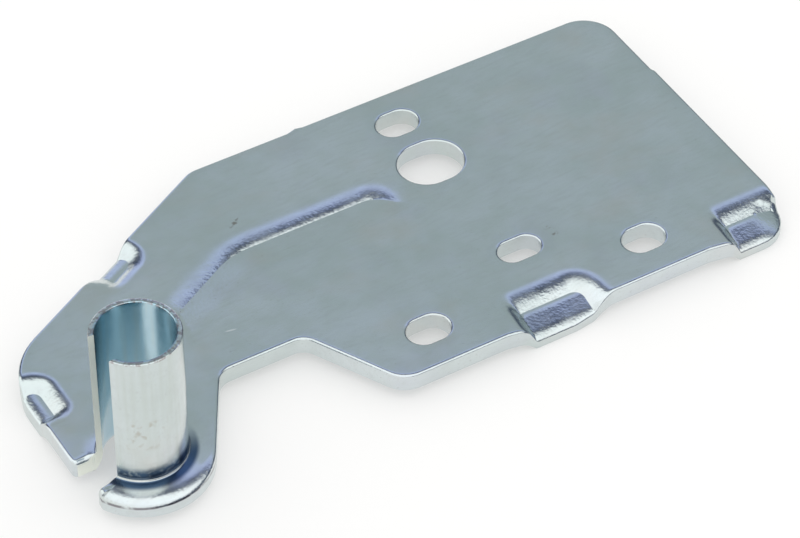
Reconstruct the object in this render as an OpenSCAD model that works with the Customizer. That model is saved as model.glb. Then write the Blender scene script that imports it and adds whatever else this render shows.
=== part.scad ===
// Upper hinge plate of a refrigerator door, pressed from one piece of zinc-plated sheet.
// A drawn collar stands up at the left end and is the pivot of the door.
// The origin is on the collar's axis, in the plate's upper face. X runs along the plate,
// Y runs to its rear edge and Z runs up. The plate rests on its pads' undersides.

/* [Sheet] */
// Thickness of the sheet
sheet = 3.0; // [2.5:0.1:3.5]
// How far each seat pad is pressed down below the plate
pad_drop = 1.4; // [0.8:0.1:1.6]

/* [Plate outline] */
// From the collar's axis to the right edge
plate_right = 105.1; // [96:0.1:116]
// From the collar's axis to the rear edge
plate_rear = 46.4; // [42:0.1:50]
// From the collar's axis to the front edge
plate_front = 7.1; // [6:0.1:8]
// From the collar's axis to the left edge of the tongue
tongue_left = 9.6; // [8.6:0.1:10.6]
// Rounding at the rear right corner
corner_r = 5.5; // [3:0.5:8]
// Slope of the arm's rear edge
arm_angle = 28.5; // [24:0.5:33]
// From the collar's axis to the arm's rear edge
arm_rear = 25.3; // [23.5:0.1:27.5]
// Rounding between the tongue's left edge and the arm's rear edge
tongue_r = 12; // [6:0.5:14]
// Rounding where the arm's rear edge meets the plate's rear edge
shoulder_r = 4.5; // [2:0.5:8]
// Offset that the two blanking strokes leave in the outline
stroke_step = 0.3; // [0.1:0.05:0.5]

/* [Front recess] */
// From the collar's axis to the recess's inner edge
recess_y = 7.6; // [6.5:0.1:9]
// Where the recess's right side would meet its inner edge
recess_right = 29.8; // [27:0.1:33]
// Slope of the recess's left side, which runs tangent to the hook
recess_angle = 59.5; // [56:0.5:64]
// Rounding at the recess's two inner corners
recess_r = 2.8; // [1.5:0.1:3.5]
// Rounding where the recess meets the front edge
recess_mouth_r = 4.5; // [2:0.5:6]

/* [Collar] */
// Outside diameter of the collar
collar_d = 12.8; // [12.2:0.1:14]
// Wall of the collar
collar_wall = 0.85; // [0.7:0.05:1.2]
// Height of the collar above the plate
collar_h = 23.1; // [18:0.1:28]
// Rounding at the collar's foot
foot_r = 0.5; // [0.3:0.1:0.9]
// How much wider than the bore its rounded mouth is at the underside
mouth_flare = 1.4; // [0.8:0.1:1.8]
// Radius of the hook, the rim round the front of the collar
hook_r = 10.1; // [9.4:0.1:10.8]

/* [Cable slot] */
// Width of the slot through the collar and the rim
slot_w = 5.4; // [4.2:0.1:6]
// Offset of the slot's middle from the collar's axis, towards the front
slot_offset = 0.4; // [0:0.1:1]
// Rounding at the slot's outer corners
slot_corner_r = 0.8; // [0.3:0.1:1.2]

/* [Holes] */
// Width of a mounting slot
screw_w = 5.1; // [4.5:0.1:5.6]
// Length that a mounting slot adds to its width
screw_play = 1.7; // [1:0.1:2.4]
// Width of the locating slot
locate_w = 4.3; // [3.6:0.1:5]
// Length that the locating slot adds to its width
locate_play = 2.6; // [1.6:0.1:3]
// Width of the large opening
large_w = 8.8; // [7.6:0.1:10]
// Length that the large opening adds to its width
large_play = 1.6; // [1:0.1:2.4]

/* [Pads and rib] */
// Width of the rolled wall between the plate and a seat pad
roll_w = 4.0; // [3:0.1:4.4]
// Depth of the stiffening rib's crease
rib_depth = 1.2; // [0.6:0.1:1.5]
// Width of the rib's rolled wall
rib_roll_w = 3.2; // [2.4:0.1:3.8]
// Width of the rib's floor, which ramps back up to the plate
rib_ramp_w = 5.5; // [4:0.1:6.5]
// Distance from the rear edge to the rib's crease
rib_inset = 18.4; // [17:0.1:19.5]

/* [Hidden] */
$fn = 60;

// Levels: the plate's underside and the plane of the pads' undersides, both below the origin
under_z = -sheet;
seat_z = -sheet - pad_drop;

// Rounded outline helpers
arc_step = 7.5;
function unit(v) = v / norm(v);
function along(angle) = [cos(angle), sin(angle)];
function turn(a, b) = acos(max(-1, min(1, a * b)));
function arc(centre, r, start, sweep) =
    let (n = max(1, ceil(abs(sweep) / arc_step)))
    [for (i = [0:n]) centre + r * along(start + sweep * i / n)];
function rounded(before, corner, after, r) =
    let (
        a = unit(before - corner),
        b = unit(after - corner),
        half = turn(a, b) / 2,
        centre = corner + unit(a + b) * r / sin(half),
        side = sign(a[0] * b[1] - a[1] * b[0]),
        first = atan2(-side * a[0], side * a[1])
    )
    arc(centre, r, first, -side * (180 - 2 * half));
function rounded_path(points) =
    let (n = len(points))
    [for (i = [0:n - 1])
        let (
            p = points[i],
            q = points[(i + n - 1) % n],
            s = points[(i + 1) % n]
        )
        each p[2] > 0
            ? rounded([q[0], q[1]], [p[0], p[1]], [s[0], s[1]], p[2])
            : [[p[0], p[1]]]
    ];

// Where a sloping line meets a level or an upright one
function arm_y(x, inset = 0) = (arm_rear - inset) / cos(arm_angle) + x * tan(arm_angle);
function arm_x(y, inset = 0) = (y - (arm_rear - inset) / cos(arm_angle)) / tan(arm_angle);

// Seat pads: where each crease lies and how long it is
front_pad_x = 58.2;
front_pad_l = 11.6;
front_pad_bulge = 0.85;
corner_pad_x = 94;
corner_pad_bulge = 0.7;
corner_pad_r = 5.6;
front_crease_y = -plate_front + 3.9;
front_strip = 1.55;
front_edge_w = 3.2;
front_edge_drop = 1.5;
left_pad_y = 11.6;
left_pad_l = 6.9;
left_crease = 2.4;
left_roll_w = 3.1;
left_strip = 1.5;
left_edge_w = 0.9;
left_edge_drop = 0.5;
arm_pad_u = 23.8;
arm_pad_l = 7.1;
arm_crease = 2.8;
arm_roll_w = 3.0;
arm_strip = 1.1;
arm_edge_w = 2.4;
arm_edge_drop = 1.4;
pad_corner_r = 1.5;
steep_r = 0.6;
corner_turn = 30;

// The outline, anticlockwise from the right end of the front edge
corner_pad_y = -plate_front - corner_pad_bulge;
front_pad_y = -plate_front - front_pad_bulge;
front_pad_mid = front_pad_x + front_pad_l / 2;
step_x = 50.6;
step_y = 30;
recess_slant_x = recess_right + (recess_y + plate_front) * tan(arm_angle);
tangent_angle = recess_angle - 90;
recess_left_x = (hook_r + recess_y * cos(recess_angle)) / sin(recess_angle);
slot_rear = slot_w / 2 - slot_offset;
slot_front = -slot_w / 2 - slot_offset;
tip_x = -sqrt(hook_r * hook_r - slot_front * slot_front);
tip_angle = atan2(slot_front, tip_x);

rear_side = [
    [plate_right, corner_pad_y, corner_pad_r],
    [plate_right, step_y, 0.2],
    [plate_right - stroke_step, step_y + 0.6, 0.2],
    [plate_right - stroke_step, plate_rear, corner_r],
    [step_x + 1.2, plate_rear, 0.2],
    [step_x, plate_rear + stroke_step, 0.3],
    [step_x - 1.6, plate_rear - stroke_step / 2, 0.3],
    [arm_x(plate_rear - stroke_step / 2), plate_rear - stroke_step / 2, shoulder_r],
    [-tongue_left, arm_y(-tongue_left), tongue_r],
    [-tongue_left, slot_rear, slot_corner_r],
    [0, slot_rear, 0],
    [0, slot_front, 0]
];
hook_tip = arc([tip_x + 1.9 * slot_corner_r, slot_front - slot_corner_r], slot_corner_r, 90, 75);
hook_side = arc([0, 0], hook_r, tip_angle + 10, tangent_angle - tip_angle - 10);
front_side = [
    [recess_left_x, recess_y, recess_r],
    [recess_right, recess_y, recess_r],
    [recess_slant_x, -plate_front, recess_mouth_r],
    [front_pad_x - 3.2, -plate_front, 2.5],
    [front_pad_x + 1.6, front_pad_y, 4],
    [front_pad_x + front_pad_l - 3.4, front_pad_y, 6],
    [front_pad_x + front_pad_l + 3.2, -plate_front, 5],
    [corner_pad_x - 4.2, -plate_front, 2.5],
    [corner_pad_x, corner_pad_y, 3]
];
function path_between(first, points, last) =
    let (n = len(points))
    [for (i = [0:n - 1])
        let (
            p = points[i],
            q = i == 0 ? first : points[i - 1],
            s = i == n - 1 ? last : points[i + 1]
        )
        each p[2] > 0
            ? rounded([q[0], q[1]], [p[0], p[1]], [s[0], s[1]], p[2])
            : [[p[0], p[1]]]
    ];
outline = concat(
    path_between(front_side[len(front_side) - 1], rear_side, [tip_x, slot_front]),
    hook_tip,
    hook_side,
    path_between(hook_r * along(tangent_angle), front_side, rear_side[0])
);

// Holes: the middle of each one and its size
screw_holes = [[64.5, 39.7], [45.9, -0.2], [82.8, -0.2]];
locate_hole = [65.9, 7.2];
large_hole = [64.4, 29.7];

// Radius of a rolled wall that leaves the plate level and is w wide where it is d deep
function roll_radius(w, d) = (w * w + d * d) / (2 * d);

// Extrudes a section along +X: its x becomes Y and its y becomes Z
module along_x(from, to) {
    translate([from, 0, 0])
        rotate([90, 0, 90])
            linear_extrude(to - from)
                children();
}

// Extrudes a section along +Y: its x stays X and its y becomes Z
module along_y(from, to) {
    translate([0, to, 0])
        rotate([90, 0, 0])
            linear_extrude(to - from)
                children();
}

// A slot-shaped hole with its length along X
module slot_hole(middle, w, play, from, to) {
    translate([middle[0], middle[1], from])
        linear_extrude(to - from)
            union() {
                translate([-play / 2, 0]) circle(d = w);
                translate([play / 2, 0]) circle(d = w);
                translate([-play / 2, -w / 2]) square([play, w]);
            }
}

// A pad's rolled wall leaves the plate at this slope
roll_start = 4;
function wall_radius(w, d) = (w * w + d * d) / (2 * (d * cos(roll_start) - w * sin(roll_start)));

// What a rolled wall leaves standing: its circle starts at x = -w and is d deep at x = 0
module wall_circle(w, d) {
    r = wall_radius(w, d);
    translate([-w - r * sin(roll_start), -r * cos(roll_start)]) circle(r);
}

// Section above a pad: the rolled wall and the pad's floor
module dip_section(w, d, reach) {
    difference() {
        translate([-w, -d]) square([w + reach, d + 1]);
        wall_circle(w, d);
    }
}

// Section above a pad's steep end, which has only a small roll
module steep_section(d, reach) {
    difference() {
        translate([-steep_r, -d]) square([steep_r + reach, d + 1]);
        translate([-steep_r, -steep_r]) circle(steep_r);
        translate([-steep_r - 1, -d - 1]) square([steep_r + 1, d + 1 - steep_r]);
    }
}

// Section above a pad's rolled outer edge
module edge_section(strip, w, d, level, reach) {
    r = roll_radius(w, d);
    difference() {
        translate([strip, -level - d]) square([reach - strip, d + 0.01]);
        translate([strip, -level - r]) circle(r);
    }
}

// What is pressed away above a pad. The crease runs along +X from a steep end at x = 0,
// the plate's edge lies towards +Y and z = 0 is the plate's top. The wall turns the corner
// at x = l in equal steps.
module pad_pocket(l, w, strip, edge_w, edge_drop, reach) {
    intersection() {
        along_y(-w - 1, reach) steep_section(pad_drop, l + w + 1);
        intersection_for(turn = [0:corner_turn:90])
            translate([l - pad_corner_r, pad_corner_r, 0])
                rotate([0, 0, turn])
                    translate([0, -pad_corner_r, 0])
                        along_x(-30, 30) dip_section(w, pad_drop, 30);
    }
    difference() {
        along_x(0, l + w) edge_section(strip, edge_w, edge_drop, pad_drop, reach);
        along_y(-w, reach + 1) translate([l, 0]) mirror([1, 0]) wall_circle(w, pad_drop);
    }
}

// What a pad adds below the plate, in the same frame as its pocket, with sloping sides
module pad_boss(l, w, reach, end_w) {
    intersection() {
        along_x(-3, l + end_w)
            polygon([
                [-w * 0.6, -sheet + 0.01],
                [-w * 0.15, -sheet - pad_drop],
                [reach, -sheet - pad_drop],
                [reach, -sheet + 0.01]
            ]);
        along_y(-w, reach)
            polygon([
                [-3, -sheet + 0.01],
                [-2.2, -sheet - pad_drop * 0.2],
                [-0.8, -sheet - pad_drop * 0.9],
                [0, -sheet - pad_drop],
                [l, -sheet - pad_drop],
                [l + end_w * 0.3, -sheet - pad_drop * 0.85],
                [l + end_w * 0.7, -sheet - pad_drop * 0.25],
                [l + end_w, -sheet + 0.01]
            ]);
    }
}

// Places a pad's frame: at the front edge, at the left edge and at the arm's rear edge
module at_front(x) {
    translate([x, front_crease_y, 0]) mirror([0, 1, 0]) children();
}

module at_left() {
    translate([-tongue_left + left_crease, left_pad_y, 0])
        rotate([0, 0, 90])
            children();
}

module at_arm() {
    rotate([0, 0, arm_angle])
        translate([arm_pad_u, arm_rear - arm_crease, 0])
            children();
}

module pockets() {
    at_front(front_pad_x)
        pad_pocket(front_pad_l, roll_w, front_strip, front_edge_w, front_edge_drop, 8);
    at_left()
        pad_pocket(left_pad_l, left_roll_w, left_strip, left_edge_w, left_edge_drop, 5);
    at_arm()
        pad_pocket(arm_pad_l, arm_roll_w, arm_strip, arm_edge_w, arm_edge_drop, 6);
    corner_pocket();
}

// The corner pad runs off the plate's right edge, so it has no side wall there
module corner_pocket() {
    l = plate_right - corner_pad_x;
    r_edge = roll_radius(front_edge_w, front_edge_drop);
    pivot = [plate_right - corner_pad_r, corner_pad_y + corner_pad_r];
    strip_y = front_crease_y - front_strip;
    at_front(corner_pad_x) {
        intersection() {
            along_y(-roll_w - 1, 9) steep_section(pad_drop, l + 4);
            along_x(-1, l + 3) dip_section(roll_w, pad_drop, 8);
        }
        along_x(0, l - corner_pad_r)
            edge_section(front_strip, front_edge_w, front_edge_drop, pad_drop, 8);
    }
    translate([pivot[0], pivot[1], 0])
        rotate([0, 0, -90])
            rotate_extrude(angle = 90)
                edge_section(pivot[1] - strip_y, front_edge_w, front_edge_drop, pad_drop, 12);
}

module bosses() {
    at_front(front_pad_x) pad_boss(front_pad_l, roll_w, 8, roll_w);
    at_left() pad_boss(left_pad_l, left_roll_w, 5, left_roll_w);
    at_arm() pad_boss(arm_pad_l, arm_roll_w, 6, arm_roll_w);
    at_front(corner_pad_x) pad_boss(20, roll_w, 8, roll_w);
}

// The stiffening rib follows the rear edge and then the arm. Its crease bends here.
rib_arm_inset = 14.6;
rib_y = plate_rear - rib_inset;
rib_x = arm_x(rib_y, rib_arm_inset);
rib_end_x = 49.5;
rib_start_u = 16;
rib_cap_r = 2.5;

// Places a section's crease on the rib: in line with the rear edge, or with the arm
module at_rib() {
    translate([rib_x, rib_y, 0]) mirror([0, 1, 0]) children();
}

module at_rib_arm() {
    translate([rib_x, rib_y, 0]) rotate([0, 0, arm_angle]) mirror([0, 1, 0]) children();
}

// Section above the rib's ramp, which rises from the crease
module rib_ramp_section() {
    polygon([
        [rib_ramp_w, 1],
        [rib_ramp_w, 0],
        [0, -rib_depth],
        [-rib_roll_w - 1, -rib_depth],
        [-rib_roll_w - 1, 1]
    ]);
}

// The wall turns a quarter circle round each end of the rib
module rib_end(side) {
    intersection_for(turn = [0:corner_turn:90])
        translate([-side * rib_cap_r, rib_cap_r, 0])
            rotate([0, 0, side * turn])
                translate([0, -rib_cap_r, 0])
                    along_x(-60, 60) dip_section(rib_roll_w, rib_depth + 0.3, 60);
}

module rib_groove() {
    intersection() {
        union() {
            at_rib() along_x(-10, 40) rib_ramp_section();
            at_rib_arm() along_x(-40, 10) rib_ramp_section();
        }
        at_rib() translate([rib_end_x - rib_x, 0, 0]) rib_end(1);
        at_rib_arm() translate([-rib_start_u, 0, 0]) rib_end(-1);
    }
}

// The bead that the rib leaves on the underside, from x = from to x = to
module rib_bead(from, to) {
    low = -sheet - rib_depth;
    intersection() {
        along_x(from, to)
            polygon([
                [-rib_roll_w, -sheet + 0.2],
                [-rib_roll_w, -sheet - 0.05],
                [-rib_roll_w * 0.35, low],
                [0.9, low],
                [rib_ramp_w, -sheet - 0.05],
                [rib_ramp_w, -sheet + 0.2]
            ]);
        along_y(-rib_roll_w, rib_ramp_w)
            polygon([
                [from, -sheet + 0.2],
                [from, -sheet - 0.05],
                [from + 2.4, low],
                [to - 2.4, low],
                [to, -sheet - 0.05],
                [to, -sheet + 0.2]
            ]);
    }
}

module rib_beads() {
    at_rib() rib_bead(-3.1, rib_end_x - rib_x + 2.2);
    at_rib_arm() rib_bead(-rib_start_u - 2.3, 3.2);
}

// The collar is drawn up out of the sheet, so its bore opens with a rounded mouth below
module collar_solid() {
    r = collar_d / 2;
    translate([0, 0, -0.5])
        cylinder(r = r, h = collar_h + 0.5);
    rotate_extrude()
        difference() {
            translate([r - 0.5, -0.5]) square([foot_r + 0.5, foot_r + 0.5]);
            translate([r + foot_r, foot_r]) circle(foot_r);
        }
}

module collar_bore() {
    r = collar_d / 2 - collar_wall;
    depth = sheet + 0.05;
    mouth_r = roll_radius(depth, mouth_flare);
    translate([0, 0, seat_z - 1]) cylinder(r = r, h = collar_h - seat_z + 2);
    translate([0, 0, 0.05])
        rotate_extrude()
            difference() {
                translate([r - 0.5, -depth - 1]) square([mouth_flare + 1.2, depth + 1]);
                translate([r + mouth_r, 0]) circle(mouth_r);
            }
}

module cable_slot() {
    translate([-collar_d, slot_front, seat_z - 1])
        cube([collar_d, slot_w, collar_h - seat_z + 2]);
}

module holes() {
    for (middle = screw_holes)
        slot_hole(middle, screw_w, screw_play, seat_z - 1, 1);
    slot_hole(locate_hole, locate_w, locate_play, seat_z - 1, 1);
    slot_hole(large_hole, large_w, large_play, seat_z - 1, 1);
}

module hinge_plate() {
    color("lightsteelblue")
        difference() {
            union() {
                translate([0, 0, under_z]) linear_extrude(sheet) polygon(outline);
                intersection() {
                    translate([0, 0, seat_z]) linear_extrude(-seat_z) polygon(outline);
                    bosses();
                }
                collar_solid();
                rib_beads();
            }
            pockets();
            rib_groove();
            collar_bore();
            cable_slot();
            holes();
        }
}

hinge_plate();
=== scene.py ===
import math

import bmesh
import bpy
import numpy as np
from mathutils import Matrix, Vector
from mathutils.geometry import delaunay_2d_cdt


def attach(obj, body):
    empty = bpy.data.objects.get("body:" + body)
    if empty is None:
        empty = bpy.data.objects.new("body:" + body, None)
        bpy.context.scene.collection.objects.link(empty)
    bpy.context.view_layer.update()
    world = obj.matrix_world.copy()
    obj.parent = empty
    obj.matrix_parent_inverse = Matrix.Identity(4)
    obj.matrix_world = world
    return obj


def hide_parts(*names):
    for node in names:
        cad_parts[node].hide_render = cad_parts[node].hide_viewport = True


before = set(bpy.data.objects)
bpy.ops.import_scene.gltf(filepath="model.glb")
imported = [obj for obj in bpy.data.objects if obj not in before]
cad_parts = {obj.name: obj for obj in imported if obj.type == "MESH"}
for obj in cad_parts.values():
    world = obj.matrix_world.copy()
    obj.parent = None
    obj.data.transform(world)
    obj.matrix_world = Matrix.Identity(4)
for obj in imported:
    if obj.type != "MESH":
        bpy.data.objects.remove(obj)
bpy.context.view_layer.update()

scene = bpy.context.scene
scene.view_settings.view_transform = "Standard"

MM = 0.001

# Sizes of the plate, in mm, in the frame of the solid: origin on the collar's axis, plate's top at 0.
# The sheet, and how far the pads' seats lie below it
SHEET = 3.0
DROP = 1.4
SEAT = -SHEET - DROP

# The plate's edges, the angle of the arm's rear edge and its distance from the collar's axis
RIGHT, REAR, FRONT, LEFT = 105.1, 46.4, 7.1, 9.6
ARM = math.radians(28.5)
ARM_REAR = 25.3
REAR_STEP = 0.15
RIGHT_STEP = 0.3

# The recess in the front edge, whose left side stands at RECESS_ANGLE
RECESS_Y, RECESS_RIGHT, RECESS_R = 7.6, 29.8, 2.8
RECESS_ANGLE = math.radians(59.5)

# The collar, its rounded foot, the rise of the plate towards it, and the rounded mouth underneath
COLLAR_R, COLLAR_WALL, COLLAR_H = 6.4, 0.85, 23.1
BORE_R = COLLAR_R - COLLAR_WALL
FOOT_R = 0.42
FOOT_OUTER = COLLAR_R + FOOT_R
LIFT_R, LIFT_SLOPE = 8.1, 0.27
MOUTH_TOP, MOUTH_H = 0.05, 3.05
AROUND = 140

# The hook's outer edge, its tip, and the two faces of the slot
HOOK_R, TIP_R = 10.1, 0.8
SLOT_REAR, SLOT_FRONT = 2.3, -3.1

# The pads: where each one's steep end and crease lie
CREASE_Y = -FRONT + 3.9
FRONT_PAD_X, RIGHT_PAD_X = 58.2, 94.0
LEFT_PAD_Y, LEFT_CREASE_X = 11.6, -LEFT + 2.4
ARM_PAD_U, ARM_CREASE_V = 23.8, ARM_REAR - 2.8
FRONT_BULGE, RIGHT_BULGE, RIGHT_PAD_R = 0.85, 0.7, 5.6

# The rib: depth, width of its wall and of its ramp, its bend's centre, and its ends
RIB_DEPTH, RIB_WALL, RIB_RAMP = 0.75, 3.3, 5.7
RIB_LIP, RIB_LIP_W = 0.08, 0.4
RIB_Y, RIB_ARM_V = REAR - 18.4, ARM_REAR - 14.6
RIB_BEND_R = 12.0
RIB_CX = (math.cos(ARM) * (RIB_Y - RIB_BEND_R) + RIB_BEND_R - RIB_ARM_V) / math.sin(ARM)
RIB_CY = RIB_Y - RIB_BEND_R
RIB_END_X, RIB_START, RIB_END_R = 54.3, 18.0, 2.6

# Width and depth of the rounded edge left by the punch, along the outline and round a hole, and the size of
# the small edge underneath
EDGE_W, EDGE_E = 0.55, 0.3
HOLE_W, HOLE_E = 0.5, 0.22
LOWER_EDGE = 0.12

# Screw slots, locating slot and large opening: centre, width and play
HOLES = [
    (64.5, 39.7, 5.1, 1.7),
    (45.9, -0.2, 5.1, 1.7),
    (82.8, -0.2, 5.1, 1.7),
    (65.9, 7.2, 4.3, 2.6),
    (64.4, 29.7, 8.8, 1.6),
]


def smooth(t):
    t = np.clip(t, 0.0, 1.0)
    return t * t * (3 - 2 * t)


# Depth of a rolled wall at distance s from its crease: bent at the top over the share q of its width
def roll(s, w, d, q=0.5):
    slope = d / (w * (1 - q / 2))
    x = np.clip(w - s, 0.0, w)
    return np.where(x < q * w, slope * x * x / (2 * q * w), slope * (x - q * w / 2))


# Fall of a pad's floor towards the plate's edge: a gentle slope, then a bend down
def edge_roll(v, slope, bend):
    x = np.clip(v - 0.25, 0.0, 6.0)
    down = np.clip(v - bend, 0.0, 1.7)
    return slope * np.where(x < 0.7, x * x / 1.4, x - 0.35) + 0.17 * down * down


# Distance outside a crease that runs along v = 0 and turns a corner of radius r at u = l
def outside(u, v, l, r):
    du, dv = u - (l - r), r - v
    corner = np.hypot(np.maximum(du, 0), np.maximum(dv, 0)) - r
    return np.where((du > 0) & (dv > 0), corner, np.maximum(-v, u - l))


# The same for a pad, whose steep end is centred on u = 0 and is as wide as its near says
def around(u, v, p):
    far = outside(u, v, p["l"], p["r"])
    near = (p["near"] * 0.5 - u) * p["w"] / p["near"]
    both = np.hypot(np.maximum(near, 0), np.maximum(far, 0))
    return np.where((near > 0) & (far > 0), both, np.maximum(near, far))


# Each pad's length, width of wall, slope and bend of its floor, corner and width of its steep end
PADS = {
    "front": dict(l=11.4, w=3.9, slope=0.27, bend=3.2, r=1.7, near=2.6),
    "right": dict(l=40.0, w=3.9, slope=0.28, bend=3.2, r=1.5, near=2.4),
    "left": dict(l=6.9, w=3.1, slope=0.17, bend=1.2, r=1.5, near=2.8),
    "arm": dict(l=7.1, w=3.0, slope=0.2, bend=1.1, r=1.5, near=4.6),
}


# From the plate's frame to a pad's: u along its crease from the steep end, v towards the plate's edge
def pad_frame(name, x, y):
    if name == "front":
        return x - FRONT_PAD_X, CREASE_Y - y
    if name == "right":
        return x - RIGHT_PAD_X, CREASE_Y - y
    if name == "left":
        return y - LEFT_PAD_Y, LEFT_CREASE_X - x
    u = x * math.cos(ARM) + y * math.sin(ARM) - ARM_PAD_U
    v = -x * math.sin(ARM) + y * math.cos(ARM) - ARM_CREASE_V
    return u, v


# From a pad's frame back to the plate's
def local(name, u, v):
    if name == "front":
        return FRONT_PAD_X + u, CREASE_Y - v
    if name == "right":
        return RIGHT_PAD_X + u, CREASE_Y - v
    if name == "left":
        return LEFT_CREASE_X - v, LEFT_PAD_Y + u
    a, b = u + ARM_PAD_U, v + ARM_CREASE_V
    return a * math.cos(ARM) - b * math.sin(ARM), a * math.sin(ARM) + b * math.cos(ARM)


# Depth of a pad. Its upper face also falls towards the plate's edge, round the corner on the right.
def pad_depth(name, x, y, edge=True):
    p = PADS[name]
    u, v = pad_frame(name, x, y)
    depth = roll(around(u, v, p), p["w"], DROP, 0.8)
    if edge:
        ve = v
        if name == "right":
            cx, cy = RIGHT - RIGHT_PAD_R, -FRONT - RIGHT_BULGE + RIGHT_PAD_R
            round_v = np.hypot(np.maximum(x - cx, 0), np.maximum(cy - y, 0)) - (cy - CREASE_Y)
            ve = np.where((x > cx) & (y < cy), np.maximum(round_v, v), v)
        extra = edge_roll(ve, p["slope"], p["bend"])
        depth = depth + extra * np.clip(depth / DROP, 0, 1)
    return depth


# Signed distance from the rib's crease, positive towards the wall, and distance along the rib
def rib_frame(x, y):
    dx, dy = x - RIB_CX, y - RIB_CY
    ux, uy = math.cos(ARM), math.sin(ARM)
    forward = dx * ux + dy * uy
    across = -dx * uy + dy * ux
    turned = np.arctan2(-dx, dy)
    bent = np.hypot(dx, dy) - RIB_BEND_R
    s = np.where(dx >= 0, dy - RIB_BEND_R, np.where(forward <= 0, across - RIB_BEND_R, bent))
    t = np.where(dx >= 0, dx, np.where(forward <= 0, forward - ARM * RIB_BEND_R, -turned * RIB_BEND_R))
    return s, t


# Depth of the rib: its wall with a steeper lip at the crease, and the ramp that rises from there
def rib_depth(x, y):
    s, t = rib_frame(x, y)
    right = outside(t, -s, RIB_END_X - RIB_CX, RIB_END_R)
    left = outside(-t, -s, RIB_START, RIB_END_R)
    near = np.maximum(right, left)
    lip = RIB_LIP * np.clip(1 - near / RIB_LIP_W, 0, 1) ** 2
    wall = roll(near, RIB_WALL, RIB_DEPTH - RIB_LIP, 0.95) + lip
    share = np.clip(1 + s / RIB_RAMP, 0, 1)
    ramp = RIB_DEPTH * np.where(share < 0.3, share * share / 0.6, share - 0.15) / 0.85
    return np.minimum(wall, np.where(s < 0, ramp, RIB_DEPTH))


# The plate rises a little towards the collar it was drawn from
def lift(r):
    x = np.clip(LIFT_R - r, 0.0, LIFT_R - COLLAR_R)
    return LIFT_SLOPE * np.where(x < 0.5, x * x, x - 0.25)


# Heights of the plate's upper face and of its underside
def top_z(x, y):
    depth = rib_depth(x, y) - lift(np.hypot(x, y))
    for name in PADS:
        depth = depth + pad_depth(name, x, y)
    return -depth


def under_z(x, y):
    depth = 0.85 * rib_depth(x, y)
    for name in PADS:
        depth = depth + pad_depth(name, x, y, edge=False)
    return -SHEET - np.minimum(depth, DROP)


# Points of an arc, in degrees
def arc(cx, cy, r, start, sweep, step=6.0):
    n = max(2, int(math.ceil(abs(sweep) / step)))
    return [
        (cx + r * math.cos(math.radians(start + sweep * i / n)),
         cy + r * math.sin(math.radians(start + sweep * i / n)))
        for i in range(n + 1)
    ]


# The corner at p between q and s, rounded to radius r
def corner(q, p, s, r):
    a = Vector((q[0] - p[0], q[1] - p[1])).normalized()
    b = Vector((s[0] - p[0], s[1] - p[1])).normalized()
    half = math.acos(max(-1, min(1, a.dot(b)))) / 2
    mid = (a + b).normalized() * (r / math.sin(half))
    side = 1 if a.x * b.y - a.y * b.x > 0 else -1
    first = math.degrees(math.atan2(-side * a.x, side * a.y))
    return arc(p[0] + mid.x, p[1] + mid.y, r, first, -side * (180 - 2 * math.degrees(half)))


# The rounded corners of a path from first to last, through points that hold their radii
def path(first, points, last):
    out = []
    for i, p in enumerate(points):
        q = first if i == 0 else points[i - 1]
        s = last if i == len(points) - 1 else points[i + 1]
        out += corner(q, p, s, p[2]) if p[2] > 0 else [(p[0], p[1])]
    return out


# The arm's rear edge
def arm_y(x):
    return ARM_REAR / math.cos(ARM) + x * math.tan(ARM)


tip_x = -math.sqrt(HOOK_R ** 2 - SLOT_FRONT ** 2)
tip_angle = math.degrees(math.atan2(SLOT_FRONT, tip_x))
leave_angle = math.degrees(RECESS_ANGLE) - 90
front_end = (-math.sqrt(FOOT_OUTER ** 2 - SLOT_FRONT ** 2), SLOT_FRONT)
rear_end = (-math.sqrt(FOOT_OUTER ** 2 - SLOT_REAR ** 2), SLOT_REAR)
hook = arc(tip_x + 1.9 * TIP_R, SLOT_FRONT - TIP_R, TIP_R, 90, 75, 12)
hook += arc(0, 0, HOOK_R, tip_angle + 10, leave_angle - tip_angle - 10, 3)
recess_x = (HOOK_R + RECESS_Y * math.cos(RECESS_ANGLE)) / math.sin(RECESS_ANGLE)
front_side = [
    (recess_x, RECESS_Y, RECESS_R),
    (RECESS_RIGHT, RECESS_Y, RECESS_R),
    (RECESS_RIGHT + (RECESS_Y + FRONT) * math.tan(ARM), -FRONT, 4.5),
    (55.0, -FRONT, 2.5),
    (59.8, -FRONT - FRONT_BULGE, 4),
    (66.4, -FRONT - FRONT_BULGE, 6),
    (73.0, -FRONT, 5),
    (89.8, -FRONT, 2.5),
    (RIGHT_PAD_X, -FRONT - RIGHT_BULGE, 3),
]
rear_side = [
    (RIGHT, -FRONT - RIGHT_BULGE, RIGHT_PAD_R),
    (RIGHT, 30.0, 0),
    (RIGHT - RIGHT_STEP, 30.6, 0),
    (RIGHT - RIGHT_STEP, REAR, 5.5),
    (51.8, REAR, 0),
    (50.6, REAR + 0.28, 0),
    (49.0, REAR - REAR_STEP, 0),
    ((REAR - REAR_STEP - ARM_REAR / math.cos(ARM)) / math.tan(ARM), REAR - REAR_STEP, 4.5),
    (-LEFT, arm_y(-LEFT), 12),
    (-LEFT, SLOT_REAR, TIP_R),
]
outline = [front_end] + hook + path(hook[-1], front_side + rear_side, rear_end) + [rear_end]


# Cuts a path into short steps
def fine(points, step):
    out = [points[0]]
    for a, b in zip(points, points[1:]):
        length = math.hypot(b[0] - a[0], b[1] - a[1])
        if length < 1e-6:
            continue
        n = max(1, int(math.ceil(length / step)))
        out += [(a[0] + (b[0] - a[0]) * i / n, a[1] + (b[1] - a[1]) * i / n) for i in range(1, n + 1)]
    return np.array(out)


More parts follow.
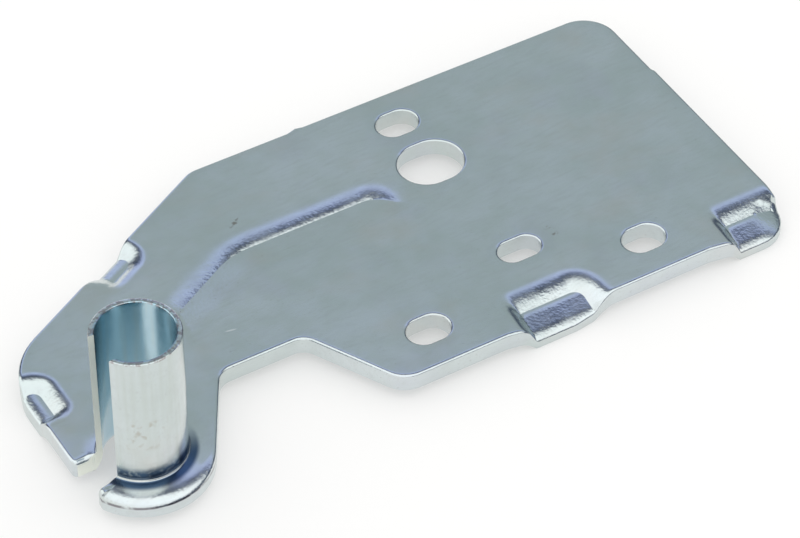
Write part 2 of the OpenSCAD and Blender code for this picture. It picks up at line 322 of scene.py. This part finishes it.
# Directions into the sheet at each point of a path, lengthened at corners
def normals(points, closed):
    p = np.asarray(points)
    if closed:
        before, after = np.roll(p, 1, 0), np.roll(p, -1, 0)
    else:
        before = np.vstack([p[:1], p[:-1]])
        after = np.vstack([p[1:], p[-1:]])
    t1, t2 = p - before, after - p
    if not closed:
        t1[0], t2[-1] = t2[0], t1[-1]
    t1 /= np.linalg.norm(t1, axis=1)[:, None]
    t2 /= np.linalg.norm(t2, axis=1)[:, None]
    n1 = np.stack([-t1[:, 1], t1[:, 0]], 1)
    n2 = np.stack([-t2[:, 1], t2[:, 0]], 1)
    n = n1 + n2
    n /= np.linalg.norm(n, axis=1)[:, None]
    return n / np.maximum((n * n1).sum(1), 0.7)[:, None]


# Width and depth of the rounded top edge along the outline: large round the hook and at the tongue's end,
# small in the pads, none at the collar's foot
def edge_size(p):
    x, y = p[:, 0], p[:, 1]
    w, e = np.full(len(p), EDGE_W), np.full(len(p), EDGE_E)
    angle = np.degrees(np.arctan2(y, x))
    on_hook = (np.hypot(x, y) < HOOK_R + 0.1) & (y < SLOT_FRONT - 0.05) & (x < 9.5)
    g = smooth((-22 - angle) / 55.0)
    w = np.where(on_hook, EDGE_W + 2.0 * g, w)
    e = np.where(on_hook, EDGE_E + 0.95 * g, e)
    tongue = (np.abs(y - SLOT_REAR) < 0.3) & (x < 0)
    w, e = np.where(tongue, 0.85, w), np.where(tongue, 0.75, e)
    for name in PADS:
        d = pad_depth(name, x, y, edge=False)
        k = smooth(d / DROP)
        w, e = w * (1 - 0.4 * k), e * (1 - 0.5 * k)
    steps = np.hypot(*np.diff(p, axis=0).T)
    s = np.concatenate([[0], np.cumsum(steps)])
    weights = np.exp(-((s[:, None] - s[None]) / 0.9) ** 2) * np.gradient(s)[None]
    weights /= weights.sum(1)[:, None]
    w, e = weights @ w, weights @ e
    near_tip = np.hypot(x - tip_x - 0.9, y - SLOT_FRONT) < 1.6
    w = np.where(near_tip, np.minimum(w, 0.75), w)
    fade = smooth(np.minimum(s, s[-1] - s) / 0.9)
    return w * fade, e * fade


verts, faces = [], []


# Adds points to the mesh and gives their numbers
def add(points):
    start = len(verts)
    verts.extend([tuple(p) for p in points])
    return list(range(start, len(verts)))


# Faces between two rows of points
def strip(a, b, closed=False):
    n = len(a)
    for i in range(n if closed else n - 1):
        j = (i + 1) % n
        faces.append((a[i], a[j], b[j], b[i]))


FRACTIONS = (0.0, 0.05, 0.15, 0.3, 0.5, 0.75, 1.0)


# Fall of the rounded edge at the fraction f of its width
def roll_share(f):
    s = 0.97
    return (1 - np.sqrt(1 - (s * (1 - f)) ** 2)) / (1 - math.sqrt(1 - s * s))


# Rounded top edge, cut face and small lower edge along one boundary. Gives their innermost points above and
# below, and the numbers of the cut face's lower row.
def border(p, w, e, closed):
    n = normals(p, closed)
    rings = []
    for f in FRACTIONS:
        q = p + n * (w * f)[:, None]
        z = top_z(q[:, 0], q[:, 1]) - e * roll_share(f)
        rings.append(add(np.column_stack([q, z])))
    for a, b in zip(rings, rings[1:]):
        strip(a, b, closed)
    side = add(np.column_stack([p, under_z(p[:, 0], p[:, 1]) + LOWER_EDGE]))
    strip(side, rings[0], closed)
    fade = np.where(w > 0.02, 1.0, 0.0)
    low = p + n * (LOWER_EDGE * fade)[:, None]
    base = add(np.column_stack([low, under_z(low[:, 0], low[:, 1])]))
    strip(base, side, closed)
    return q, low, side


edge = fine(outline, 0.5)
w, e = edge_size(edge)
top_edge, low_edge, side_edge = border(edge, w, e, False)


# Outline of a hole, clockwise
def slot_loop(cx, cy, width, play):
    r = width / 2
    loop = arc(cx + play / 2, cy, r, 90, -180, 7.5) + arc(cx - play / 2, cy, r, -90, -180, 7.5)
    return fine(loop + [loop[0]], 0.6)[:-1]


top_loops, low_loops = [], []
for hole in HOLES:
    loop = slot_loop(*hole)
    upper, lower, _ = border(loop, np.full(len(loop), HOLE_W), np.full(len(loop), HOLE_E), True)
    top_loops.append(upper)
    low_loops.append(lower)


# Angles round the collar from one face of the slot to the other, at radius r
def slot_angles(r):
    first = math.pi - math.asin(SLOT_REAR / r)
    last = -(math.pi - math.asin(-SLOT_FRONT / r))
    return np.linspace(first, last, AROUND)


def slot_arc(r):
    a = slot_angles(r)
    return np.column_stack([r * np.cos(a), r * np.sin(a)])


# Collar: its profile from the foot over the rim and down to the mouth, turned between the slot's faces
rise = float(lift(FOOT_OUTER))
profile = [
    (FOOT_OUTER - FOOT_R * math.sin(math.radians(a)), rise + FOOT_R - FOOT_R * math.cos(math.radians(a)))
    for a in range(0, 91, 15)
]
heights = [2, 5, 8, 11, 14, 17, 20, COLLAR_H - 0.9, COLLAR_H - 0.25]
profile += [(COLLAR_R, z) for z in heights]
profile += [
    (COLLAR_R - 0.05, COLLAR_H - 0.08),
    (COLLAR_R - 0.16, COLLAR_H),
    (COLLAR_R - 0.45, COLLAR_H - 0.04),
    (BORE_R + 0.14, COLLAR_H - 0.01),
    (BORE_R + 0.03, COLLAR_H - 0.08),
]
profile += [(BORE_R, z) for z in reversed(heights)] + [(BORE_R, MOUTH_TOP)]
flare = FOOT_OUTER - BORE_R
mouth_r = (MOUTH_H ** 2 + flare ** 2) / (2 * flare)
profile += [
    (BORE_R + mouth_r - mouth_r * math.cos(a), MOUTH_TOP - mouth_r * math.sin(a))
    for a in np.linspace(0, math.asin(MOUTH_H / mouth_r), 9)[1:]
]
rings = [add(np.column_stack([slot_arc(r), np.full(AROUND, z)])) for r, z in profile]
for a, b in zip(rings, rings[1:]):
    strip(a, b)
# The slot's two faces across the collar's wall
for end, foot_point in ((0, side_edge[-1]), (-1, side_edge[0])):
    faces.append(tuple([ring[end] for ring in rings] + [foot_point]))


# Triangles between outer and holes, through the points of extra that keep clear of them, lifted by height
def fill(outer, holes, extra, height):
    points, lines = [], []
    for ring in [outer] + holes:
        start = len(points)
        points += [tuple(p) for p in ring]
        lines += [(start + i, start + (i + 1) % len(ring)) for i in range(len(ring))]
    free = np.ones(len(extra), bool)
    for x, y in points:
        free &= (extra[:, 0] - x) ** 2 + (extra[:, 1] - y) ** 2 > 0.09
    points += [tuple(p) for p in extra[free]]
    got = delaunay_2d_cdt([Vector(p) for p in points], lines, [], 0, 1e-5)
    co = np.array([(v.x, v.y) for v in got[0]])
    tri = np.array([f for f in got[2] if len(f) == 3])
    mid = co[tri].mean(1)
    inside = np.zeros(len(mid), bool)
    for ring in [outer] + holes:
        a = np.asarray(ring)
        b = np.roll(a, -1, 0)
        for (x0, y0), (x1, y1) in zip(a, b):
            if y0 != y1:
                level = (y0 > mid[:, 1]) != (y1 > mid[:, 1])
                inside ^= level & (mid[:, 0] < (x1 - x0) * (mid[:, 1] - y0) / (y1 - y0) + x0)
    z = height(co[:, 0], co[:, 1])
    index = add(np.column_stack([co, z]))
    for t in tri[inside]:
        faces.append(tuple(index[i] for i in t))


# Points in staggered rows
def grid(x0, x1, y0, y1, step):
    gx, gy = np.meshgrid(np.arange(x0, x1, step), np.arange(y0, y1, step))
    gx = gx + (np.arange(gx.shape[0])[:, None] % 2) * step / 2
    return np.column_stack([gx.ravel(), gy.ravel()])


# Points inside the plate: coarse all over, fine in the pads and the rib, and along every crease
extra = [grid(-10, 106, -9, 48, 1.6)]
for name, p in PADS.items():
    reach = 5.2 if name in ("front", "right") else 2.6
    l = min(p["l"], 11.2)
    u, v = grid(-1.6, l + p["w"] + 0.6, -p["w"] - 0.5, reach, 0.34).T
    keep = np.abs(outside(u, v, p["l"], p["r"])) > 0.16
    extra.append(np.column_stack(local(name, u[keep], v[keep])))
    t = np.arange(0, l - p["r"], 0.22)
    lines = [(t, 0 * t)]
    if p["l"] < 20:
        a = np.linspace(-math.pi / 2, 0, 14)
        lines.append((p["l"] - p["r"] + p["r"] * np.cos(a), p["r"] + p["r"] * np.sin(a)))
        t = np.arange(p["r"] + 0.2, reach, 0.22)
        lines.append((0 * t + p["l"], t))
    for u, v in lines:
        extra.append(np.column_stack(local(name, u, v)))
gx, gy = grid(8, 56, 12, 33, 0.42).T
s, t = rib_frame(gx, gy)
keep = (s < RIB_WALL + 0.6) & (s > -RIB_RAMP - 0.8) & (np.abs(s) > 0.17)
extra.append(np.column_stack([gx, gy])[keep])
a = np.linspace(0, 1.2, 14)
extra.append(np.column_stack([
    RIB_END_X - RIB_END_R + RIB_END_R * np.sin(a),
    RIB_Y - RIB_END_R + RIB_END_R * np.cos(a),
]))
t = np.arange(0, RIB_END_X - RIB_END_R - RIB_CX, 0.25)
extra.append(np.column_stack([RIB_CX + t, 0 * t + RIB_Y]))
a = np.arange(0, ARM, 0.25 / RIB_BEND_R)
extra.append(np.column_stack([RIB_CX - RIB_BEND_R * np.sin(a), RIB_CY + RIB_BEND_R * np.cos(a)]))
t = np.arange(0, 17, 0.25)
extra.append(np.column_stack([
    RIB_CX - RIB_BEND_R * math.sin(ARM) - t * math.cos(ARM),
    RIB_CY + RIB_BEND_R * math.cos(ARM) - t * math.sin(ARM),
]))
extra = np.vstack(extra)

foot_arc = slot_arc(FOOT_OUTER)
fill(np.vstack([top_edge, foot_arc[1:-1]]), top_loops, extra, top_z)
fill(np.vstack([low_edge, foot_arc]), low_loops, extra, under_z)

# One closed mesh, smooth but for its creases and cut edges
mesh = bpy.data.meshes.new("hinge_plate_looks")
mesh.from_pydata([(x * MM, y * MM, z * MM) for x, y, z in verts], [], faces)
bm = bmesh.new()
bm.from_mesh(mesh)
bmesh.ops.remove_doubles(bm, verts=bm.verts, dist=2e-6)
bmesh.ops.dissolve_degenerate(bm, edges=bm.edges, dist=1e-6)
loose = [v for v in bm.verts if not v.link_faces]
bmesh.ops.delete(bm, geom=loose, context="VERTS")
bmesh.ops.holes_fill(bm, edges=bm.edges, sides=4)
bmesh.ops.recalc_face_normals(bm, faces=bm.faces)
bm.to_mesh(mesh)
bm.free()
for poly in mesh.polygons:
    poly.use_smooth = True
mesh.set_sharp_from_angle(angle=math.radians(26))
piece = bpy.data.objects.new("hinge_plate_looks", mesh)
scene.collection.objects.link(piece)
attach(piece, "root")
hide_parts("hinge_plate")

# Camera, solved from the photograph
cam_data = bpy.data.cameras.new("camera")
cam_data.sensor_width = 36
cam_data.lens = 157.25
cam_data.clip_start = 0.01
cam_data.clip_end = 50
cam = bpy.data.objects.new("camera", cam_data)
scene.collection.objects.link(cam)
right = Vector((0.85803, -0.51357, 0.00592))
up = Vector((0.35642, 0.60370, 0.71310))
back = Vector((-0.36980, -0.60975, 0.70104))
place = Vector((-139.006, -297.120, 355.779)) * MM
cam.matrix_world = Matrix((
    (right.x, up.x, back.x, place.x),
    (right.y, up.y, back.y, place.y),
    (right.z, up.z, back.z, place.z),
    (0, 0, 0, 1),
))
scene.camera = cam


def node(tree, kind, **settings):
    made = tree.nodes.new(kind)
    for name, value in settings.items():
        setattr(made, name, value)
    return made


# A math node, whose inputs are numbers or sockets
def maths(tree, kind, a, b=None):
    made = node(tree, "ShaderNodeMath", operation=kind)
    for socket, value in zip(made.inputs, (a, b)):
        if value is None:
            continue
        if isinstance(value, (int, float)):
            socket.default_value = value
        else:
            tree.links.new(value, socket)
    return made.outputs[0]


def times(tree, first, *others):
    for value in others:
        first = maths(tree, "MULTIPLY", first, value)
    return first


def ramp(tree, value, stops):
    made = node(tree, "ShaderNodeValToRGB")
    ends = made.color_ramp.elements
    while len(ends) > 1:
        ends.remove(ends[-1])
    ends[0].position, ends[0].color = stops[0][0], (*stops[0][1], 1)
    for at, colour in stops[1:]:
        ends.new(at).color = (*colour, 1)
    tree.links.new(value, made.inputs[0])
    return made.outputs[0]


# Zinc plate: a bright metal with a faint mottle, pressing marks in its rolled walls, marks of its making,
# and painted reflections and shade: a bluish bore, streaks up the collar, a dark foot and a dark line along
# the hook's edge
def zinc():
    mat = bpy.data.materials.new("zinc_plate")
    mat.use_nodes = True
    tree = mat.node_tree
    tree.nodes.clear()
    out = node(tree, "ShaderNodeOutputMaterial")
    bsdf = node(tree, "ShaderNodeBsdfPrincipled")
    tree.links.new(bsdf.outputs["BSDF"], out.inputs["Surface"])
    bsdf.inputs["Metallic"].default_value = 1.0
    coordinates = node(tree, "ShaderNodeTexCoord")
    where = coordinates.outputs["Object"]
    facing = node(tree, "ShaderNodeSeparateXYZ")
    tree.links.new(coordinates.outputs["Normal"], facing.inputs[0])
    parts = node(tree, "ShaderNodeSeparateXYZ")
    tree.links.new(where, parts.inputs[0])
    px, py, pz = parts.outputs

    def noise(scale, detail, stretch=(1, 1, 1), turn=0.0, rough=0.55):
        place = node(tree, "ShaderNodeMapping")
        tree.links.new(where, place.inputs["Vector"])
        place.inputs["Scale"].default_value = stretch
        place.inputs["Rotation"].default_value = (0, 0, turn)
        made = node(tree, "ShaderNodeTexNoise")
        made.inputs["Scale"].default_value = scale
        made.inputs["Detail"].default_value = detail
        made.inputs["Roughness"].default_value = rough
        tree.links.new(place.outputs[0], made.inputs["Vector"])
        return made.outputs["Fac"]

    def between(value, low, high, start=0.0, end=1.0):
        made = node(tree, "ShaderNodeMapRange", interpolation_type="SMOOTHSTEP")
        for name, v in (("From Min", low), ("From Max", high), ("To Min", start), ("To Max", end)):
            made.inputs[name].default_value = v
        tree.links.new(value, made.inputs["Value"])
        return made.outputs["Result"]

    def spot(x, y, rx, ry, turn=0.0):
        dx, dy = maths(tree, "SUBTRACT", px, x * MM), maths(tree, "SUBTRACT", py, y * MM)
        c, s = math.cos(turn), math.sin(turn)
        u = maths(tree, "ADD", times(tree, dx, c / (rx * MM)), times(tree, dy, s / (rx * MM)))
        v = maths(tree, "ADD", times(tree, dx, -s / (ry * MM)), times(tree, dy, c / (ry * MM)))
        far = maths(tree, "ADD", times(tree, u, u), times(tree, v, v))
        return between(far, 0.0, 1.0, 1.0, 0.0)

    def window(value, low, full_low, full_high, high):
        rising = between(value, low * MM, full_low * MM)
        return times(tree, rising, between(value, full_high * MM, high * MM, 1.0, 0.0))

    def blend(a, b, share):
        made = node(tree, "ShaderNodeMix", data_type="RGBA")
        for socket, value in ((made.inputs["A"], a), (made.inputs["B"], b), (made.inputs["Factor"], share)):
            if isinstance(value, (tuple, float)):
                socket.default_value = value if isinstance(value, float) else (*value, 1)
            else:
                tree.links.new(value, socket)
        return made.outputs["Result"]

    # Mottle, grain and flecks of the plating
    grain = noise(900, 3, (0.35, 1.6, 1), math.radians(-31))
    patches = noise(58, 5, (1, 1.5, 1), 0.6)
    colour = blend((0.60, 0.665, 0.655), (0.66, 0.715, 0.725), between(noise(42, 4), 0.35, 0.65))
    colour = blend(colour, (0.62, 0.655, 0.70), times(tree, between(noise(75, 3), 0.52, 0.7), 0.55))
    colour = blend(colour, (0.56, 0.60, 0.60), times(tree, between(grain, 0.42, 0.75), 0.3))
    colour = blend(colour, (0.40, 0.42, 0.41), times(tree, between(noise(2600, 2), 0.62, 0.8), 0.5))
    colour = blend(colour, (0.65, 0.64, 0.60), times(tree, between(patches, 0.5, 0.72), 0.45))

    # Bluish bore: a painted reflection, the tint of the zinc mirrored all round inside it
    radius = maths(tree, "SQRT", maths(tree, "ADD", times(tree, px, px), times(tree, py, py)))
    painted_bore_reflection = between(radius, 5.7 * MM, 6.0 * MM, 1.0, 0.0)
    colour = blend(colour, (0.45, 0.62, 0.70), painted_bore_reflection)

    # Darker streaks up the collar, painted in place of its banded reflections; its dull rim; and painted
    # shade at its foot, a dark ring on the plate and a dark low wall
    wall = between(pz, 0.5 * MM, 1.2 * MM)
    painted_reflection_streak = between(noise(950, 3, (1, 1, 0.05)), 0.4, 0.7)
    colour = blend(colour, (0.54, 0.59, 0.55), times(tree, wall, painted_reflection_streak, 0.4))
    rim = times(tree, between(pz, 22.8 * MM, 22.95 * MM), between(noise(1500, 2), 0.4, 0.6))
    colour = blend(colour, (0.33, 0.29, 0.29), times(tree, rim, 0.75))
    # Painted shade and reflection: a dark ring on the plate round the collar's foot and a dark low wall,
    # drawn on the front side only
    outer = between(radius, 6.1 * MM, 6.3 * MM)
    low_wall_shade = times(tree, window(pz, 0.9, 1.15, 1.8, 3.2), between(noise(1700, 3), 0.3, 0.55, 0.55, 1.0))
    ring = times(tree, window(radius, 6.48, 6.62, 7.3, 8.1), between(pz, -0.5 * MM, -0.2 * MM))
    on_front = between(py, -4.5 * MM, 1.5 * MM, 1.0, 0.0)
    painted_foot_shade = times(tree, maths(tree, "MAXIMUM", low_wall_shade, ring), outer, on_front, 0.94)
    colour = blend(colour, (0.03, 0.08, 0.16), painted_foot_shade)

    # Painted shade: a dark line where the hook's round edge meets its cut face
    painted_edge_shade = times(tree, window(pz, -1.45, -1.3, -1.12, -0.95), window(radius, 9.3, 9.6, 10.3, 10.5))
    painted_edge_shade = times(tree, painted_edge_shade, between(py, -4.5 * MM, -3.5 * MM, 1.0, 0.0), between(noise(700, 3), 0.3, 0.55))
    colour = blend(colour, (0.16, 0.14, 0.16), times(tree, painted_edge_shade, 0.8))

    # Three small stains
    dirt = between(noise(1500, 3), 0.42, 0.62)
    marks = maths(tree, "MAXIMUM", spot(32.7, 33.0, 1.6, 0.5, 0.5), spot(71.9, 8.8, 0.9, 0.4))
    marks = maths(tree, "MAXIMUM", marks, spot(72.1, 7.2, 0.8, 0.45))
    colour = blend(colour, (0.27, 0.235, 0.20), times(tree, marks, dirt, 0.75))

    # Rub marks low on the front of the collar, and a scratch beside it
    rub = times(tree, window(pz, 6.0, 7.5, 11.5, 12.5), spot(-2.6, -6.0, 4.0, 3.2))
    rub = times(tree, rub, between(noise(700, 5, (1, 1, 0.8)), 0.5, 0.62), 0.5)
    colour = blend(colour, (0.42, 0.38, 0.31), rub)
    colour = blend(colour, (0.92, 0.93, 0.92), spot(21.5, 13.9, 1.1, 0.2, -0.2))

    # The slot's sheared rear face is rough and pale
    off = maths(tree, "ABSOLUTE", maths(tree, "SUBTRACT", py, SLOT_REAR * MM))
    sheared = between(off, 0.02 * MM, 0.05 * MM, 1.0, 0.0)
    sheared = times(tree, sheared, between(px, -5.0 * MM, -4.8 * MM, 1.0, 0.0))
    sheared = times(tree, sheared, between(pz, -3.2 * MM, -2.9 * MM))
    colour = blend(colour, (0.93, 0.95, 0.88), sheared)
    tree.links.new(colour, bsdf.inputs["Base Color"])

    rough = maths(tree, "ADD", between(noise(260, 4), 0.3, 0.7, 0.15, 0.24), times(tree, grain, 0.05))
    rough = maths(tree, "ADD", rough, times(tree, sheared, 0.45))
    tree.links.new(rough, bsdf.inputs["Roughness"])

    # Relief: strong on tilted faces below the plate's top, as pressing marks, and faint elsewhere
    pressed = between(pz, -0.3 * MM, -0.05 * MM, 1.0, 0.0)
    pressed = times(tree, pressed, between(facing.outputs[2], 0.975, 0.995, 1.0, 0.0))
    strength = maths(tree, "ADD", times(tree, pressed, 0.85), 0.12)
    height = maths(tree, "ADD", noise(2300, 2, rough=0.5), times(tree, noise(330, 2), 1.2))
    bump = node(tree, "ShaderNodeBump")
    bump.inputs["Distance"].default_value = 0.035 * MM
    tree.links.new(strength, bump.inputs["Strength"])
    tree.links.new(height, bump.inputs["Height"])
    tree.links.new(bump.outputs["Normal"], bsdf.inputs["Normal"])
    return mat


mesh.materials.append(zinc())

# Floor, wide and pale, a hair below the seats so that the faces don't coincide
bpy.ops.mesh.primitive_plane_add(size=8, location=(0.05, 0.02, (SEAT - 0.02) * MM))
floor = bpy.context.object
floor.name = "floor"
floor_mat = bpy.data.materials.new("floor")
floor_mat.use_nodes = True
ft = floor_mat.node_tree
floor_bsdf = ft.nodes["Principled BSDF"]
floor_bsdf.inputs["Base Color"].default_value = (0.95, 0.948, 0.935, 1)
floor_bsdf.inputs["Roughness"].default_value = 1.0
floor_bsdf.inputs["Specular IOR Level"].default_value = 0.0
seen = node(ft, "ShaderNodeLightPath")
in_view = times(ft, seen.outputs["Is Camera Ray"], 0.35)
in_gloss = times(ft, seen.outputs["Is Glossy Ray"], 0.55)
seen_share = maths(ft, "MAXIMUM", in_view, in_gloss)
white = node(ft, "ShaderNodeEmission")
white.inputs["Color"].default_value = (1, 1, 1, 1)
floor_mix = node(ft, "ShaderNodeMixShader")
ft.links.new(seen_share, floor_mix.inputs[0])
ft.links.new(floor_bsdf.outputs[0], floor_mix.inputs[1])
ft.links.new(white.outputs[0], floor_mix.inputs[2])
ft.links.new(floor_mix.outputs[0], ft.nodes["Material Output"].inputs["Surface"])
floor.data.materials.append(floor_mat)

# Studio: plain white light. What the metal mirrors goes by direction: grey low at the rear, then lilac and
# dark up to overhead, white from there to the front. The bands come sooner on the left, and a corner low on
# the right is dark.
world = bpy.data.worlds.new("studio")
scene.world = world
world.use_nodes = True
wt = world.node_tree
wt.nodes.clear()
coords = node(wt, "ShaderNodeTexCoord")
TO_FRONT = (-0.5186, -0.8550, 0.0)
TO_RIGHT = (0.8580, -0.5136, 0.0)


def along(vector):
    made = node(wt, "ShaderNodeVectorMath", operation="DOT_PRODUCT")
    wt.links.new(coords.outputs["Generated"], made.inputs[0])
    made.inputs[1].default_value = vector
    return made.outputs["Value"]


def world_range(value, low, high):
    made = node(wt, "ShaderNodeMapRange", interpolation_type="SMOOTHSTEP")
    wt.links.new(value, made.inputs["Value"])
    made.inputs["From Min"].default_value = low
    made.inputs["From Max"].default_value = high
    return made.outputs["Result"]


axes = node(wt, "ShaderNodeSeparateXYZ")
wt.links.new(coords.outputs["Generated"], axes.inputs[0])
height = maths(wt, "ARCTAN2", axes.outputs[2], along(TO_FRONT))
start = math.radians(133.5) / math.pi
nearer = maths(wt, "MAXIMUM", maths(wt, "SUBTRACT", start, maths(wt, "DIVIDE", height, math.pi)), 0.0)
left = maths(wt, "MAXIMUM", maths(wt, "SUBTRACT", -0.16, along(TO_RIGHT)), 0.0)
share = maths(wt, "ADD", nearer, times(wt, left, 0.36))
studio = ramp(wt, share, [
    (0.0, (0.42, 0.485, 0.505)),
    (0.03, (0.44, 0.50, 0.53)),
    (0.05, (0.60, 0.69, 0.96)),
    (0.09, (0.63, 0.71, 1.05)),
    (0.12, (0.24, 0.28, 0.46)),
    (0.15, (0.05, 0.07, 0.12)),
    (0.195, (0.05, 0.06, 0.10)),
    (0.22, (0.35, 0.38, 0.45)),
    (0.26, (1.35, 1.38, 1.38)),
    (0.50, (1.30, 1.32, 1.35)),
    (0.75, (1.0, 1.0, 0.97)),
])
corner_mix = node(wt, "ShaderNodeMix", data_type="RGBA")
corner_mix.inputs["B"].default_value = (0.05, 0.07, 0.12, 1)
low_right = times(wt, world_range(axes.outputs[2], 0.45, 0.25), world_range(along(TO_RIGHT), 0.12, 0.30))
wt.links.new(low_right, corner_mix.inputs["Factor"])
wt.links.new(studio, corner_mix.inputs["A"])
light = node(wt, "ShaderNodeLightPath")
mix = node(wt, "ShaderNodeMix", data_type="RGBA")
mix.inputs["A"].default_value = (1.08, 1.08, 1.08, 1)
wt.links.new(light.outputs["Is Glossy Ray"], mix.inputs["Factor"])
wt.links.new(corner_mix.outputs["Result"], mix.inputs["B"])
background = node(wt, "ShaderNodeBackground")
wt.links.new(mix.outputs["Result"], background.inputs["Color"])
world_out = node(wt, "ShaderNodeOutputWorld")
wt.links.new(background.outputs[0], world_out.inputs["Surface"])
